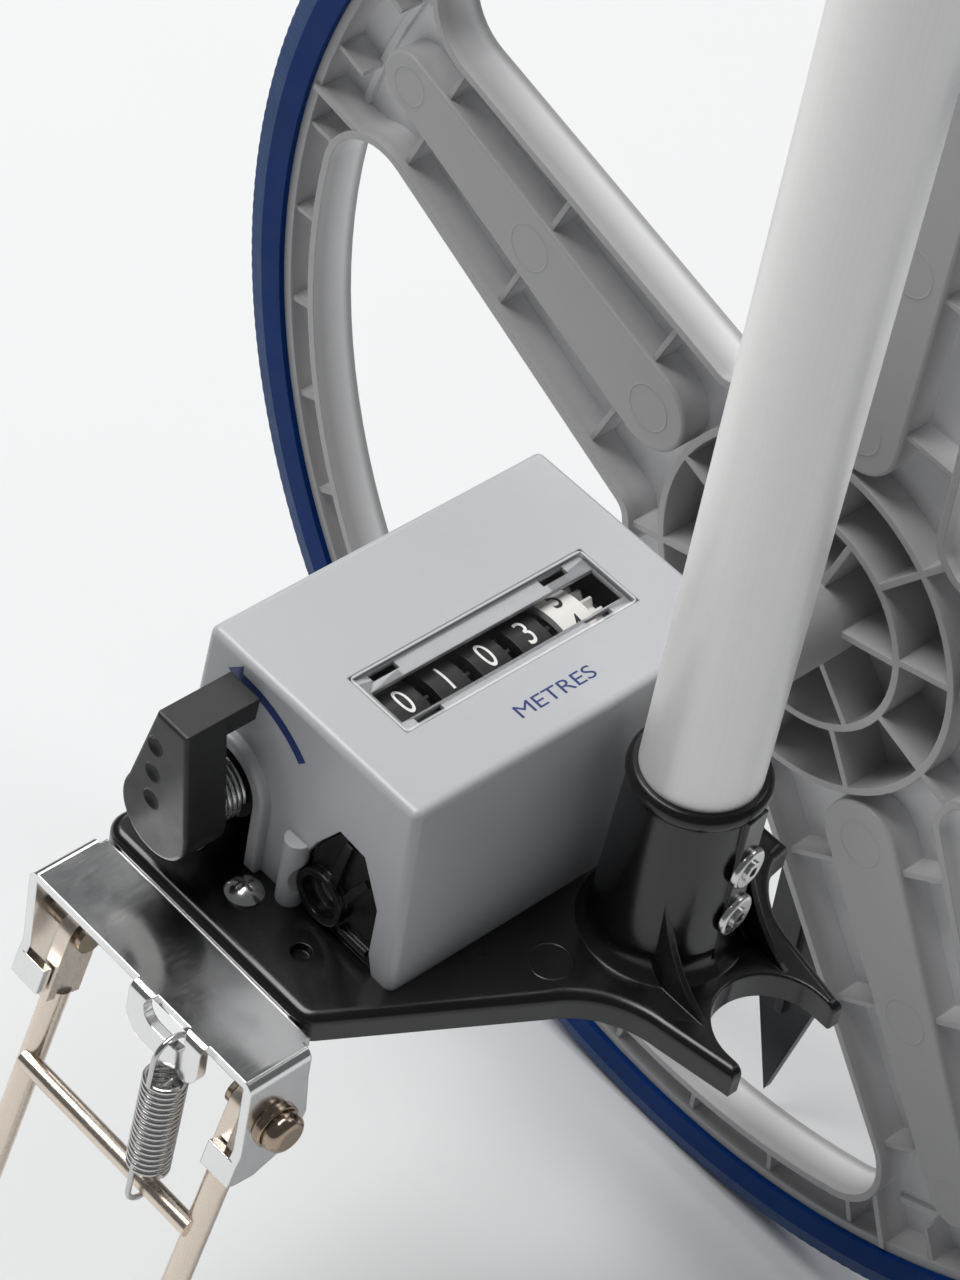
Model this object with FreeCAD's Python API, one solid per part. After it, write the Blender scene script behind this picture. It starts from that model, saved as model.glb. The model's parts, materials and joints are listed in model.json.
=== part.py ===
"""Measuring wheel with a mechanical counter, a folding tube handle and a sprung two-legged stand.

Working frame: X = 0, Z = 0 is the axle line and Y = 0 is the near face of the wheel rim.
+Y runs along the axle from the counter to the wheel, +X points to the operator, +Z is up.
Every shape is moved by SHIFT when it is saved, so that the origin of the finished part is on
the ground, at the middle of the part's footprint.  All lengths are in millimetres.
"""
import FreeCAD, Part
import math
import os

V = FreeCAD.Vector

# ---- driving dimensions ------------------------------------------------------------------
WHEEL_R = 159.0                 # rolling radius: one turn is 1 m on the ground
WHEEL_MID_Y = 2.0               # middle plane of the wheel
TYRE_HALF = 5.3                 # half width of the tyre
RIM_R = 148.6                   # seat of the tyre
GAP_R = 138.0                   # outer arc of the openings between the spokes
GAP_END_R = 47.0                # hub end of the openings
SPOKES = 5
SPOKE_ANGLE = 16.0              # direction of the first spoke, from +X towards +Z
WALL = 1.8                      # moulded wall of the wheel
WALL_Y = (-3.2, 7.2)            # depth of the walls round the openings
WEB_Y = (4.6, 6.6)              # floor of the spokes and of the rim channel
HUB_FLOOR_Y = (9.0, 11.0)       # deeper floor inside the hub rings
HUB_NEAR_Y = -2.1               # near edge of the hub rings and ribs
BAR_NEAR_Y = -2.3               # top of the raised bar along each spoke
RIB_NEAR_Y = -1.3               # near edge of the small ribs
HUB_RINGS = (24.9, 38.35)       # outer radii of the two hub rings
HUB_TUBE_R = 10.4
HUB_TUBE_Y = (-38.0, 11.0)
POINTER_TURN = 3.3              # how far the hanging pointer is turned from straight down

AXLE_R = 3.0
AXLE_Y = (-120.0, 26.5)
RUN = 0.05                      # radial clearance of a running fit

PLATE_TOP = -7.0
PLATE_T = 2.4
FLANGE_LOW = -13.0
FLANGE_T = 2.2
STRIP_X = -40.0                 # -X edge of the bracket plate
PLATE_Y = (-138.4, -40.0)

TUBE_X, TUBE_Y = 35.5, -72.0    # axis of the lower handle tube
TUBE_R = 11.0
TUBE_WALL = 1.2
CLIP_R = TUBE_R + 0.25          # bore of the clip that holds the folded tube
FOLD_OFFSET = 29.0              # distance between the tubes when the handle is folded
FOLD_Z = 400.0                  # height of the fold pin
GRIP_Z = (815.0, 935.0)

DRUM_X, DRUM_Z = -5.0, 20.6     # axis of the number drums
DRUM_R = 13.2
DRUM_W = 7.0
DRUM_PITCH = 9.55
DRUM_FIRST_Y = -66.0            # middle of the white tenth-metre drum
DRUMS = 5
PINION_DIST = 15.4              # distance from the drum axis to the transfer pinion axis
PINION_ANGLE = -20.0

COVER_TOP = 37.0
COVER_WALL = 2.0
LEVER_X, LEVER_Z = -25.5, 8.5   # axis of the reset lever

STAND_Y, STAND_Z = -146.6, -24.7    # axis of the stand
STAND_MID_X = -9.9
LEG_X = 23.6                    # distance of each leg from the middle of the stand
LEG_TILT = 15.0                 # outward lean of the open stand
LEG_R = 2.5
LEG_BEND_Z = -85.0
FOOT_SPREAD = 61.0
CROSSBAR_Z = -54.0
SPRING_X = 1.2

BASE_MID_Y = -80.0              # middle of the footprint, along the axle
SHIFT = V(0, -BASE_MID_Y, WHEEL_R)

DEG = math.pi / 180.0


# ---- small helpers -----------------------------------------------------------------------
def cyl_x(radius, x0, x1, y, z):
    return Part.makeCylinder(radius, x1 - x0, V(x0, y, z), V(1, 0, 0))


def cyl_y(radius, y0, y1, x=0.0, z=0.0):
    return Part.makeCylinder(radius, y1 - y0, V(x, y0, z), V(0, 1, 0))


def cyl_z(radius, z0, z1, x, y):
    return Part.makeCylinder(radius, z1 - z0, V(x, y, z0), V(0, 0, 1))


def ring_y(outer, inner, y0, y1, x=0.0, z=0.0):
    return cyl_y(outer, y0, y1, x, z).cut(cyl_y(inner, y0 - 1, y1 + 1, x, z))


def box(x0, x1, y0, y1, z0, z1):
    return Part.makeBox(x1 - x0, y1 - y0, z1 - z0, V(x0, y0, z0))


def prism(points, vector):
    return Part.Face(Part.makePolygon(points + [points[0]])).extrude(vector)


def prism_y(xz, y0, y1):
    return prism([V(x, y0, z) for x, z in xz], V(0, y1 - y0, 0))


def prism_x(yz, x0, x1):
    return prism([V(x0, y, z) for y, z in yz], V(x1 - x0, 0, 0))


def prism_z(xy, z0, z1):
    return prism([V(x, y, z0) for x, y in xy], V(0, 0, z1 - z0))


def fuse(shapes):
    return shapes[0].multiFuse(shapes[1:]).removeSplitter() if len(shapes) > 1 else shapes[0]


def cut(shape, *tools):
    for tool in tools:
        shape = shape.cut(tool)
    return shape


def spun_y(shape, degrees, x=0.0, z=0.0):
    """Turn a copy about a Y-parallel axis, positive from +X towards +Z."""
    turned = shape.copy()
    turned.rotate(V(x, 0, z), V(0, -1, 0), degrees)
    return turned


def polar(radius, degrees, x=0.0, z=0.0):
    return x + radius * math.cos(degrees * DEG), z + radius * math.sin(degrees * DEG)


def fillet_where(shape, radius, test):
    edges = [e for e in shape.Edges if test(e)]
    return shape.makeFillet(radius, edges)


def along(edge, axis):
    """True where a straight edge is parallel to an axis letter."""
    d = edge.Vertexes[-1].Point - edge.Vertexes[0].Point
    size = {"x": abs(d.x), "y": abs(d.y), "z": abs(d.z)}
    return len(edge.Vertexes) == 2 and size[axis] > 0.99 * d.Length and d.Length > 0.01


def gear(teeth, module, y0, y1, bore, x, z, phase, tooth_share=0.42, sector=None):
    """Spur gear on a Y-parallel axis, one tooth pointing in the direction phase."""
    pitch_r = teeth * module / 2.0
    tip, root = pitch_r + 0.85 * module, pitch_r - 1.1 * module
    step = 360.0 / teeth
    half = step * tooth_share / 2.0
    points = []
    for k in range(teeth):
        a = phase + k * step
        flank = ((root, -1.45 * half), (pitch_r, -half), (tip, -0.45 * half),
                 (tip, 0.45 * half), (pitch_r, half), (root, 1.45 * half))
        points += [polar(r, a + da, x, z) for r, da in flank]
    body = prism_y(points, y0, y1)
    if sector:
        a0, a1 = sector
        rays = [polar(2 * tip, a0 + (a1 - a0) * k / 4.0, x, z) for k in range(5)]
        body = body.common(prism_y([(x, z)] + rays, y0 - 1, y1 + 1))
        body = body.fuse(cyl_y(bore + 1.5, y0, y1, x, z))
    return body.cut(cyl_y(bore, y0 - 1, y1 + 1, x, z))


def half_ring(start, centre, axis, wire_r, heading):
    """Half turn of round wire from a start point about a centre."""
    section = Part.Face(Part.Wire(Part.makeCircle(wire_r, start, heading)))
    return section.revolve(centre, axis, 180)


def coil(mean_r, wire_r, pitch, turns):
    """Wire coil along +Z, built from tilted half turns that meet smoothly."""
    halves = []
    for k in range(2 * turns):
        side = -1 if k % 2 else 1
        start = V(side * mean_r, 0, k * pitch / 2)
        end = V(-side * mean_r, 0, (k + 1) * pitch / 2)
        centre = (start + end) * 0.5
        axis = (start - centre).cross(V(0, side, 0))
        halves.append(half_ring(start, centre, axis, wire_r, V(0, 1, 0)))
    return fuse(halves)


# ---- wheel -------------------------------------------------------------------------------
def revolve_y(profile):
    """Turn a closed (radius, y) outline about the axle."""
    points = [V(r, y, 0) for r, y in profile]
    face = Part.Face(Part.makePolygon(points + [points[0]]))
    return face.revolve(V(0, 0, 0), V(0, 1, 0), 360)


def mirror_profile(half):
    """Close a half outline, given from the bore outwards, about the wheel's middle plane."""
    other = [(r, 2 * WHEEL_MID_Y - y) for r, y in reversed(half)]
    return half + other


def tyre():
    y = WHEEL_MID_Y - TYRE_HALF
    half = [(RIM_R, y), (WHEEL_R - 4.7, y), (WHEEL_R - 0.4, y + 1.0), (WHEEL_R, y + 1.4)]
    return revolve_y(mirror_profile(half))


def spoke_half(radius):
    """Half width of a spoke between its two openings."""
    return 28.6 - 0.0935 * radius


def opening(grow, y0, y1):
    """Opening between two spokes, centred on +X, its outline pushed out by grow."""
    half_step = 180.0 / SPOKES * DEG
    c, s = math.cos(half_step), math.sin(half_step)
    inner_x = GAP_END_R - grow
    r = (inner_x - (spoke_half(0) - grow) * s) / (c - 0.0935 * s)
    inner_z = r * s - (spoke_half(r) - grow) * c
    r = 132.0
    x, z = r * c + (spoke_half(r) - grow) * s, r * s - (spoke_half(r) - grow) * c
    outer = GAP_R + grow
    reach = outer / math.hypot(x, z)
    xa, za = x * reach, z * reach
    arc = Part.Arc(V(xa, y0, -za), V(outer, y0, 0), V(xa, y0, za)).toShape()
    corners = [V(xa, y0, za), V(inner_x, y0, inner_z), V(inner_x, y0, -inner_z), V(xa, y0, -za)]
    lines = [Part.LineSegment(corners[k], corners[k + 1]).toShape() for k in range(3)]
    solid = Part.Face(Part.Wire([arc] + lines)).extrude(V(0, y1 - y0, 0))
    solid = fillet_where(solid, 13.0 + grow, lambda e: along(e, "y") and e.Vertexes[0].X > 90)
    return fillet_where(solid, 4.8 + grow, lambda e: along(e, "y") and e.Vertexes[0].X < 70)


def spoke_bar():
    """Raised bar along the middle of a spoke that lies on +X, hollow from the far side."""

    def outline(r_in, h_in, r_out, h_out, y0, y1):
        wedge = prism_y([(r_in, -h_in), (r_out, -h_out), (r_out, h_out), (r_in, h_in)], y0, y1)
        return fuse([wedge, cyl_y(h_in, y0, y1, r_in), cyl_y(h_out, y0, y1, r_out)])
    bar = outline(49.0, 9.4, 129.0, 6.4, BAR_NEAR_Y, WEB_Y[1])
    bar = fillet_where(bar, 0.7, lambda e: e.BoundBox.YMax < BAR_NEAR_Y + 0.01)
    return bar, outline(49.0, 7.8, 129.0, 4.8, BAR_NEAR_Y + 1.8, WEB_Y[1] + 3)


def radial_rib(r0, r1, angle, y0, y1, thick=1.4):
    return spun_y(box(r0, r1, y0, y1, -thick / 2, thick / 2), angle)


def spoke_ribs():
    """Cross ribs between the bar and the two walls of a spoke that lies on +X."""
    ribs = []
    for r in (120.0, 87.0, 54.5):
        inner = 5.5 + (130 - r) * 0.037
        outer = spoke_half(r) - 0.6
        for side in (1, -1):
            z0, z1 = sorted((side * inner, side * outer))
            ribs.append(box(r - 0.6, r + 0.6, RIB_NEAR_Y, WEB_Y[1], z0, z1))
    for angle in (-9.5, 9.5):
        ribs.append(radial_rib(GAP_R - 6, RIM_R - 1, angle, WALL_Y[0] + 0.4, WEB_Y[1]))
    return ribs


def hub():
    """Deep round cup at the middle of the wheel, with two rings and their ribs."""
    step = 360.0 / SPOKES
    far = HUB_FLOOR_Y[1]
    solids = [cyl_y(HUB_RINGS[1], *HUB_FLOOR_Y)]
    for radius in HUB_RINGS:
        solids.append(ring_y(radius, radius - 1.6, HUB_NEAR_Y, far))
    for k in range(2 * SPOKES):
        solids.append(radial_rib(HUB_RINGS[0] - 1, HUB_RINGS[1] - 1, SPOKE_ANGLE + k * step / 2,
                                 HUB_NEAR_Y, far))
    for k in range(6):
        solids.append(radial_rib(HUB_TUBE_R - 1, HUB_RINGS[0] - 1, 14.0 + 60 * k, HUB_NEAR_Y, far))
    return solids


def wheel():
    step = 360.0 / SPOKES
    middles = [SPOKE_ANGLE + (k + 0.5) * step for k in range(SPOKES)]
    web = cyl_y(RIM_R - 1.0, *WEB_Y).cut(cyl_y(HUB_RINGS[1] - 1.0, 0, 20))
    rim = ring_y(RIM_R, RIM_R - 2.2, -2.0, 6.6)
    ridge = ring_y(GAP_R + WALL, GAP_R, WEB_Y[0] - 1.0, WEB_Y[1])
    solids = [web, rim, ridge] + hub()
    openings = []
    for angle in middles:
        solids.append(spun_y(opening(WALL, *WALL_Y), angle))
        openings.append(spun_y(opening(0.0, -20, 20), angle))
        solids.append(radial_rib(HUB_RINGS[1] - 1, GAP_END_R - 1, angle, HUB_NEAR_Y, WEB_Y[1]))
    for k in range(40):
        solids.append(radial_rib(GAP_R + 0.6, RIM_R - 1, SPOKE_ANGLE + 4.5 + 9 * k, -1.4, WEB_Y[1], 1.2))
    hollows = []
    for k in range(SPOKES):
        angle = SPOKE_ANGLE + k * step
        bar, hollow = spoke_bar()
        solids.append(spun_y(bar, angle))
        hollows.append(spun_y(hollow, angle))
        solids += [spun_y(rib, angle) for rib in spoke_ribs()]
    body = cut(fuse(solids), *(openings + hollows))
    tube = cyl_y(HUB_TUBE_R, HUB_TUBE_Y[0], HUB_TUBE_Y[1])
    return body.fuse(tube).cut(cyl_y(AXLE_R, -60, 60)).removeSplitter()


def axle():
    rod = cyl_y(AXLE_R, *AXLE_Y)
    return rod.makeChamfer(0.5, [e for e in rod.Edges if not along(e, "y")])


def axle_nut():
    hexagon = [polar(6.0, 60 * k) for k in range(6)]
    return prism_y(hexagon, HUB_TUBE_Y[1], 16.0).cut(cyl_y(AXLE_R, 0, 20))


def pointer():
    """Start-mark pointer that hangs from the far end of the axle down to the ground line."""
    blade = prism_y([(-6, 2), (-8.3, -122), (0, -154), (8.3, -122), (6, 2)], 20.2, 22.4)
    stiffener = prism_y([(-1, -6), (-1, -128), (1, -128), (1, -6)], 19.0, 20.4)
    body = fuse([blade, stiffener, cyl_y(8.0, 17.4, 22.4)])
    return spun_y(body.cut(cyl_y(AXLE_R + RUN, 10, 30)), POINTER_TURN)


def pointer_cap():
    cap = cyl_y(5.5, 23.0, 27.8)
    cap = cap.makeFillet(1.6, [e for e in cap.Edges if e.BoundBox.YMin > 27])
    return cap.cut(cyl_y(AXLE_R, 15, AXLE_Y[1]))


# ---- bracket -----------------------------------------------------------------------------
def bracket_wire(inset, z):
    """Outline of the bracket plate: a strip under the counter and a wing to the handle."""
    y_mid = TUBE_Y
    half = y_mid - PLATE_Y[0]
    front = [(15.5, -half), (37.0, -28.2)]
    curve = [(37.0, -28.2), (43.6, -20.3), (53.0, -16.7)]
    tip = [(68.2, -13.9), (68.2, -8.0)]

    def at(xy, side):
        return V(xy[0], y_mid + side * -xy[1] if side > 0 else y_mid + xy[1], z)
    far_end = V(36.4, PLATE_Y[1], z)
    edges = [Part.LineSegment(V(STRIP_X, PLATE_Y[0], z), at(front[0], -1)),
             Part.LineSegment(at(front[0], -1), at(front[1], -1)),
             Part.Arc(at(curve[0], -1), at(curve[1], -1), at(curve[2], -1)),
             Part.LineSegment(at(curve[2], -1), at(tip[0], -1)),
             Part.LineSegment(at(tip[0], -1), at(tip[0], 1)),
             Part.LineSegment(at(tip[0], 1), at(curve[2], 1)),
             Part.Arc(at(curve[2], 1), at(curve[1], 1), at(curve[0], 1)),
             Part.LineSegment(at(curve[0], 1), far_end),
             Part.LineSegment(far_end, V(STRIP_X, PLATE_Y[1], z)),
             Part.LineSegment(V(STRIP_X, PLATE_Y[1], z), V(STRIP_X, PLATE_Y[0], z))]
    wire = Part.Wire([e.toShape() for e in edges])
    return wire.makeOffset2D(-inset) if inset else wire


def clip_space(radius, z0, z1):
    """U-shaped space of the tube clip, open towards +X."""
    x = TUBE_X + FOLD_OFFSET
    slot = box(x, x + 30, TUBE_Y - radius, TUBE_Y + radius, z0, z1)
    return cyl_z(radius, z0, z1, x, TUBE_Y).fuse(slot)


def socket_solid():
    """Flared tube socket with a rolled lip, as a turned outline."""
    points = [V(0, 0, FLANGE_LOW), V(14.4, 0, FLANGE_LOW), V(15.4, 0, PLATE_TOP)]
    flare = Part.Arc(V(15.4, 0, PLATE_TOP), V(13.8, 0, PLATE_TOP + 1.7), V(13.3, 0, PLATE_TOP + 6))
    lip = Part.Arc(V(12.3, 0, 30.6), V(13.0, 0, 32.4), V(11.9, 0, 34.2))
    edges = [Part.LineSegment(points[0], points[1]), Part.LineSegment(points[1], points[2]), flare,
             Part.LineSegment(V(13.3, 0, PLATE_TOP + 6), V(12.3, 0, 30.6)), lip,
             Part.LineSegment(V(11.9, 0, 34.2), V(0, 0, 34.2)),
             Part.LineSegment(V(0, 0, 34.2), points[0])]
    face = Part.Face(Part.Wire([e.toShape() for e in edges]))
    solid = face.revolve(V(0, 0, 0), V(0, 0, 1), 360)
    solid.translate(V(TUBE_X, TUBE_Y, 0))
    return solid


def clip_gusset(y):
    """Thin concave web from the socket down to the root of a clip prong."""
    top = [(57.6, -7.2), (55.8, -6.2), (54.0, -5.0), (52.2, -3.5), (50.5, -1.8), (49.0, 0.0),
           (47.5, 2.2), (46.3, 4.2), (45.2, 6.2), (44.3, 8.2), (43.2, 11.0), (42.3, 14.5), (41.5, 18.0)]
    return prism_y([(39.0, PLATE_TOP - 1), (57.6, PLATE_TOP - 1)] + top + [(39.0, 18.0)], y - 0.6, y + 0.6)


RIVET_DIR = 7.0
RIVET_Z = (18.9, 6.6)
RIVET_SEAT = 13.25


def rivet_shape(x, y, z, direction, grip, head_r, shank_r, head_t=1.0):
    """Domed flanged rivet whose head seats at the given point and whose shank runs inwards."""
    head = Part.makeCylinder(head_r, head_t, V(0, 0, 0), V(0, 0, 1))
    head = head.makeFillet(head_t * 0.7, [e for e in head.Edges if e.BoundBox.ZMin > head_t * 0.5])
    boss = Part.makeCylinder(shank_r + 0.5, head_t + 0.5, V(0, 0, 0), V(0, 0, 1))
    shank = Part.makeCylinder(shank_r, grip, V(0, 0, -grip), V(0, 0, 1))
    rivet = fuse([head, boss, shank]).cut(Part.makeCylinder(shank_r * 0.6, 5, V(0, 0, 0.2)))
    rivet.Placement = FreeCAD.Placement(V(x, y, z), FreeCAD.Rotation(V(0, 0, 1), direction))
    return rivet


def tube_rivets():
    c, s = math.cos(RIVET_DIR * DEG), math.sin(RIVET_DIR * DEG)
    seat = RIVET_SEAT
    return Part.makeCompound([rivet_shape(TUBE_X + seat * c, TUBE_Y + seat * s, z, V(c, s, 0),
                                          seat - TUBE_R + TUBE_WALL, 4.25, 1.6, 1.2) for z in RIVET_Z])


def rivet_holes():
    c, s = math.cos(RIVET_DIR * DEG), math.sin(RIVET_DIR * DEG)
    return [Part.makeCylinder(1.6, 9, V(TUBE_X + 8 * c, TUBE_Y + 8 * s, z), V(c, s, 0)) for z in RIVET_Z]


def rivet_pad():
    """Flat strip down the socket that the rivet heads seat on."""
    strip = Part.makeBox(RIVET_SEAT - 9.0, 5.2, 35.6, V(9.0, -2.6, -4.0))
    strip.rotate(V(0, 0, 0), V(0, 0, 1), RIVET_DIR)
    strip.translate(V(TUBE_X, TUBE_Y, 0))
    return strip


OUTER_BOSS_Y = (-123.0, -116.4)
INNER_BOSS_Y = (-54.0, -40.6)
BOSS_BORE = 4.3


def bearing_pedestals():
    """Two upright bearings for the axle, one at each end of the counter."""
    low = PLATE_TOP - 1
    outer_wall = prism_y([(-4.3, low), (-4.3, 7.6), (-2.6, 11.0), (2.1, 18.3), (8.2, 17.7), (12.9, 8.7),
                          (12.9, -2.5), (14.2, low)], -121.4, -118.4)
    ribs = [prism_y([(1.0, 5.0), (3.6, 17.2), (5.2, 17.2), (3.0, 4.4)], -122.4, -119),
            prism_y([(4.2, 3.4), (9.0, 12.6), (10.2, 11.4), (5.4, 2.2)], -122.4, -119),
            box(5.2, 12.4, -122.4, -119, -4.6, -3.2)]
    inner_wall = box(-7, 7, INNER_BOSS_Y[0] + 4, INNER_BOSS_Y[0] + 7, low, 0)
    return [outer_wall, inner_wall, cyl_y(5.7, *OUTER_BOSS_Y), cyl_y(6.6, *INNER_BOSS_Y)] + ribs


STAND_SCREWS = ((-12.6, -128.2), (-28.0, -128.2))
SPARE_HOLE = (3.6, -129.0)
COVER_SCREWS = ((-33.0, -116.5), (13.0, -116.5), (-33.0, -50.5), (13.0, -50.5))
FRAME_SCREWS = ((-20.0, -104.5), (-20.0, -62.0))
GEAR_Y = (DRUM_FIRST_Y + DRUM_W / 2, DRUM_FIRST_Y + DRUM_W / 2 + 4.0)


def bracket():
    top = Part.Face(bracket_wire(0, FLANGE_LOW)).extrude(V(0, 0, PLATE_TOP - FLANGE_LOW))
    top = fillet_where(top, 4.5, lambda e: along(e, "z") and e.BoundBox.YMax < PLATE_Y[0] + 0.1)
    top = fillet_where(top, 2.0, lambda e: e.BoundBox.ZMin > PLATE_TOP - 0.01)
    top = top.cut(clip_space(CLIP_R, -30, 30))
    top = fillet_where(top, 0.5, lambda e: e.BoundBox.ZMin > PLATE_TOP - 0.01 and e.BoundBox.XMin > 50
                       and abs(e.CenterOfMass.y - TUBE_Y) < CLIP_R + 0.1)
    pocket_depth = PLATE_TOP - PLATE_T - FLANGE_LOW + 1
    pocket = Part.Face(bracket_wire(FLANGE_T, FLANGE_LOW - 1)).extrude(V(0, 0, pocket_depth))
    keep = clip_space(CLIP_R + FLANGE_T, FLANGE_LOW - 2, PLATE_TOP)
    pocket = pocket.cut(keep)
    low = PLATE_TOP - PLATE_T
    stand_tongue = box(-34.2, 12.2, PLATE_Y[0] - 1, -119.9, FLANGE_LOW - 1, low)
    body = top.cut(pocket)
    ribs = [box(-39, 34, y - 0.8, y + 0.8, FLANGE_LOW + 1, low) for y in (-98.0, -80.0, -55.4)]
    ribs += [box(x - 0.8, x + 0.8, -98.0, PLATE_Y[1] + 1, FLANGE_LOW + 1, low) for x in (-26.0, 17.0)]
    body = body.fuse(fuse(ribs).cut(keep)).cut(stand_tongue)
    body = body.multiFuse([socket_solid(), rivet_pad(), clip_gusset(TUBE_Y - 10), clip_gusset(TUBE_Y + 10.2)]
                          + bearing_pedestals())
    body = cut(body, cyl_z(TUBE_R, FLANGE_LOW + 1.5, 40, TUBE_X, TUBE_Y), *rivet_holes())
    body = cut(body, cyl_y(BOSS_BORE, -125, -100), cyl_y(BOSS_BORE, -60, -30))
    gear_slot = box(-12.5, 12.5, GEAR_Y[0] - 1, GEAR_Y[1] + 1, FLANGE_LOW - 1, PLATE_TOP + 0.01)
    body = body.cut(gear_slot)
    for x, y in STAND_SCREWS + COVER_SCREWS + FRAME_SCREWS:
        body = body.cut(cyl_z(1.6, FLANGE_LOW - 1, PLATE_TOP + 1, x, y))
    body = body.cut(cyl_z(1.9, PLATE_TOP - 1.7, PLATE_TOP + 1, *SPARE_HOLE))
    return body.removeSplitter()


def bush(y0, y1):
    return ring_y(BOSS_BORE, AXLE_R + RUN, y0, y1)


# ---- counter -----------------------------------------------------------------------------
def block(rect_low, z_low, rect_high, z_high):
    """Drafted box between two rectangles (x0, x1, y0, y1)."""
    wires = []
    for (x0, x1, y0, y1), z in ((rect_low, z_low), (rect_high, z_high)):
        wires.append(Part.makePolygon([V(x0, y0, z), V(x1, y0, z), V(x1, y1, z), V(x0, y1, z), V(x0, y0, z)]))
    return Part.makeLoft(wires, True, True)


COVER_LOW = (-38.6, 19.6, -122.6, -44.0)
COVER_HIGH = (-35.8, 17.8, -122.4, -44.4)
WINDOW = (-12.8, 2.6, -111.0, -56.0)
SLOT = (-8.5, -0.4, -109.2, -56.9)
POST_X = -7.2                   # half-round post beside the bearing


def inset_rect(rect, t):
    return rect[0] + t, rect[1] - t, rect[2] + t, rect[3] - t


def counter_cover():
    t = COVER_WALL
    outer = block(COVER_LOW, PLATE_TOP, COVER_HIGH, COVER_TOP)
    outer = fillet_where(outer, 1.6, lambda e: e.BoundBox.ZMax > COVER_TOP - 0.01)
    inner = block(inset_rect(COVER_LOW, t), PLATE_TOP - 0.001, inset_rect(COVER_HIGH, t), COVER_TOP - t)
    shell = outer.cut(inner)
    x, z = LEVER_X, LEVER_Z
    front = COVER_LOW[2]
    arch = fuse([cyl_y(10.7, front - 2, front + 1.5, x, z),
                 box(x - 10.7, x + 10.7, front - 2, front + 1.5, PLATE_TOP, z)])
    arch = fillet_where(arch, 0.8, lambda e: e.BoundBox.YMax < front - 1.9)
    arch_hole = fuse([cyl_y(8.3, front - 3, front + 4, x, z),
                      box(x - 8.3, x + 8.3, front - 3, front + 4, PLATE_TOP - 1, z)])
    post = cyl_z(2.5, PLATE_TOP, 8.6, POST_X, front).cut(box(-12, 0, front + 1, front + 5, -20, 20))
    bosses = [cyl_z(3.4, PLATE_TOP + 0.01, COVER_TOP - t, bx, by) for bx, by in COVER_SCREWS]
    shell = shell.multiFuse([arch, post] + bosses)
    notch = prism_y([(-6.3, -9), (-6.3, 4), (-2.9, 11.4), (1.9, 18.8), (8.4, 18.2), (13.3, 8.9),
                     (13.3, -2.5), (15.5, -9)], front - 1, front + 5)
    shell = cut(shell, arch_hole, notch.cut(cyl_z(2.5, -20, 8.6, POST_X, front)), cyl_y(6.0, -130, -118))
    axle_gate = fuse([cyl_y(7.5, -48, -40), box(-7.5, 7.5, -48, -40, PLATE_TOP - 1, 0)])
    x0, x1, y0, y1 = WINDOW
    recess = box(x0, x1, y0, y1, COVER_TOP - 1.1, COVER_TOP + 1)
    x0, x1, y0, y1 = SLOT
    through = box(x0, x1, y0, y1, COVER_TOP - 5, COVER_TOP + 1)
    clips = [box(cx - 0.9, cx + 0.9, cy - 3, cy + 3, COVER_TOP - 3, COVER_TOP + 1)
             for cx in (WINDOW[0] + 1.6, WINDOW[1] - 1.6) for cy in (-104.0, -64.0)]
    screws = [cyl_z(1.2, PLATE_TOP - 1, PLATE_TOP + 9, bx, by) for bx, by in COVER_SCREWS]
    return cut(shell, axle_gate, recess, through, *(clips + screws)).removeSplitter()


def window_lens():
    x0, x1, y0, y1 = WINDOW
    lens = box(x0 + 0.1, x1 - 0.1, y0 + 0.1, y1 - 0.1, COVER_TOP - 1.1, COVER_TOP)
    lens = fillet_where(lens, 1.2, lambda e: along(e, "z"))
    tabs = [box(cx - 0.6, cx + 0.6, cy - 2.4, cy + 2.4, COVER_TOP - 2.8, COVER_TOP - 1.1)
            for cx in (WINDOW[0] + 1.6, WINDOW[1] - 1.6) for cy in (-104.0, -64.0)]
    return fuse([lens] + tabs)


def drum_y(k):
    """Middle of drum k, counted from the tenth-metre drum."""
    return DRUM_FIRST_Y - k * DRUM_PITCH


FRAME_Y = (drum_y(DRUMS - 1) - DRUM_W / 2 - 1.0, GEAR_Y[1] + 1.0)
PINION_X, PINION_Z = polar(PINION_DIST, PINION_ANGLE, DRUM_X, DRUM_Z)
DRIVE_TEETH = 24
DRIVE_MODULE = 2 * math.hypot(DRUM_X, DRUM_Z) / (2 * DRIVE_TEETH)
DRIVE_ANGLE = math.degrees(math.atan2(DRUM_Z, DRUM_X))
PINION_MODULE = PINION_DIST * 2 / 28.0
SECTOR_DIST = math.hypot(DRUM_X - LEVER_X, DRUM_Z - LEVER_Z)
SECTOR_ANGLE = math.degrees(math.atan2(DRUM_Z - LEVER_Z, DRUM_X - LEVER_X))
SECTOR_MODULE = SECTOR_DIST * 2 / 70.0
SECTOR_Y = (-115.6, -112.6)


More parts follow.
